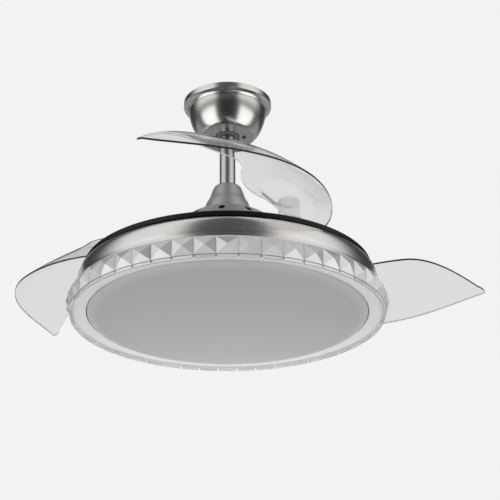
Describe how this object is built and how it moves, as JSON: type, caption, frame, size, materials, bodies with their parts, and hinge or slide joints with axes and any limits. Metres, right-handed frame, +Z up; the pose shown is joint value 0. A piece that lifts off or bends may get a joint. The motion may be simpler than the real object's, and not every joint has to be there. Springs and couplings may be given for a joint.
{
  "type": "ceiling fan with light and retracting blades",
  "caption": "Ceiling fan with a round crystal-edged light on a downrod and clear scimitar blades that fold in over the lamp.",
  "frame": {"origin": "centre of the hanger bracket's top face, where it meets the ceiling", "axes": "+Z up to the ceiling along the rod, -Y to the viewer of the picture, +X to the right"},
  "size_m": [0.7726, 0.7332, 0.382],
  "materials": {
    "painted_white": "white baked paint, satin",
    "fitting_steel": "zinc plated pressed steel",
    "satin_nickel": "polished nickel with a soft sheen",
    "cover_gray": "mid-grey paint, semi-gloss",
    "disc_black": "near-black paint, semi-gloss",
    "cast_gray": "die-cast, as cast",
    "shaft_steel": "ground steel",
    "core_steel": "stacked laminations, varnished",
    "copper_wire": "enamelled copper, wound",
    "magnet_dark": "sintered ferrite, matte",
    "bush_bronze": "sintered bronze, oiled",
    "box_plastic": "moulded, fine grain",
    "ball_nylon": "glass-filled nylon, dark",
    "gear_nylon": "natural acetal",
    "pin_steel": "ground steel",
    "stop_rubber": "black rubber",
    "blade_clear": "clear moulded polycarbonate with a faint smoky tint",
    "crystal_glass": "cut clear tiles, polished",
    "ring_white": "white moulded plastic, semi-gloss",
    "diffuser_opal": "opal acrylic, satin",
    "board_white": "white-coated aluminium circuit board",
    "chip_yellow": "phosphor lens"
  },
  "bodies": {
    "ceiling_fitting": {"hanger_bracket": "fitting_steel", "canopy": "satin_nickel", "canopy_screws": "fitting_steel", "receiver_box": "box_plastic", "terminal_block": "box_plastic"},
    "hanging": {"hanger_ball": "ball_nylon", "ball_pin": "fitting_steel", "downrod": "satin_nickel", "rod_pin": "fitting_steel", "rod_clip": "fitting_steel", "yoke": "cast_gray", "yoke_screws": "fitting_steel", "shaft_pin": "fitting_steel", "coupling_cover": "cover_gray", "motor_shaft": "shaft_steel", "stator_core": "core_steel", "windings": "copper_wire", "lamp_flange": "cast_gray", "shaft_nut": "fitting_steel", "flange_screws": "fitting_steel", "chassis": "painted_white", "trim_band": "satin_nickel", "lens_frame": "ring_white", "crystals": "crystal_glass", "diffuser": "diffuser_opal", "led_board": "board_white", "led_chips": "chip_yellow", "led_driver": "box_plastic", "fan_controller": "box_plastic", "lens_clips": "fitting_steel"},
    "rotor": {"rotor_lower_shell": "cast_gray", "rotor_upper_shell": "cast_gray", "shell_screws": "fitting_steel", "magnets": "magnet_dark", "lower_bearing": "shaft_steel", "upper_bearing": "shaft_steel", "motor_cover": "cover_gray", "rotor_disc": "disc_black", "disc_screws": "fitting_steel", "pivot_hubs": "cast_gray", "pivot_bushes": "bush_bronze", "ring_guides": "shaft_steel", "stop_bumpers": "stop_rubber", "return_springs": "fitting_steel"},
    "sync_ring_body": {"sync_ring": "gear_nylon"},
    "blade_1_body": {"blade_1": "blade_clear", "blade_gear_1": "gear_nylon", "pivot_pin_1": "pin_steel", "blade_screws_1": "pin_steel", "pin_clip_1": "pin_steel"},
    "blade_2_body": {"blade_2": "blade_clear", "blade_gear_2": "gear_nylon", "pivot_pin_2": "pin_steel", "blade_screws_2": "pin_steel", "pin_clip_2": "pin_steel"},
    "blade_3_body": {"blade_3": "blade_clear", "blade_gear_3": "gear_nylon", "pivot_pin_3": "pin_steel", "blade_screws_3": "pin_steel", "pin_clip_3": "pin_steel"}
  },
  "joints": [
    {"name": "rod_swing", "type": "hinge", "parent": "ceiling_fitting", "child": "hanging", "pos_m": [0, 0, -0.04056], "axis": [1, 0, 0], "range_deg": [-10, 10]},
    {"name": "rotor_spin", "type": "hinge", "parent": "hanging", "child": "rotor", "pos_m": [0, 0, -0.3015], "axis": [0, 0, 1], "continuous": true},
    {"name": "blade_1_fold", "type": "hinge", "parent": "rotor", "child": "blade_1_body", "pos_m": [0.09054, -0.16133, -0.3], "axis": [0, 0, 1], "range_deg": [-68, 0]},
    {"name": "blade_2_fold", "type": "hinge", "parent": "rotor", "child": "blade_2_body", "pos_m": [0.09445, 0.15907, -0.3], "axis": [0, 0, 1], "range_deg": [-68, 0]},
    {"name": "blade_3_fold", "type": "hinge", "parent": "rotor", "child": "blade_3_body", "pos_m": [-0.18499, 0.00226, -0.3], "axis": [0, 0, 1], "range_deg": [-68, 0]},
    {"name": "sync_ring_turn", "type": "hinge", "parent": "rotor", "child": "sync_ring_body", "pos_m": [0, 0, -0.3], "axis": [0, 0, 1], "range_deg": [0, 15.87]}
  ],
  "couplings": [
    {"joint": "blade_2_fold", "follows": "blade_1_fold", "ratio": 1},
    {"joint": "blade_3_fold", "follows": "blade_1_fold", "ratio": 1},
    {"joint": "sync_ring_turn", "follows": "blade_1_fold", "ratio": -0.23333}
  ]
}
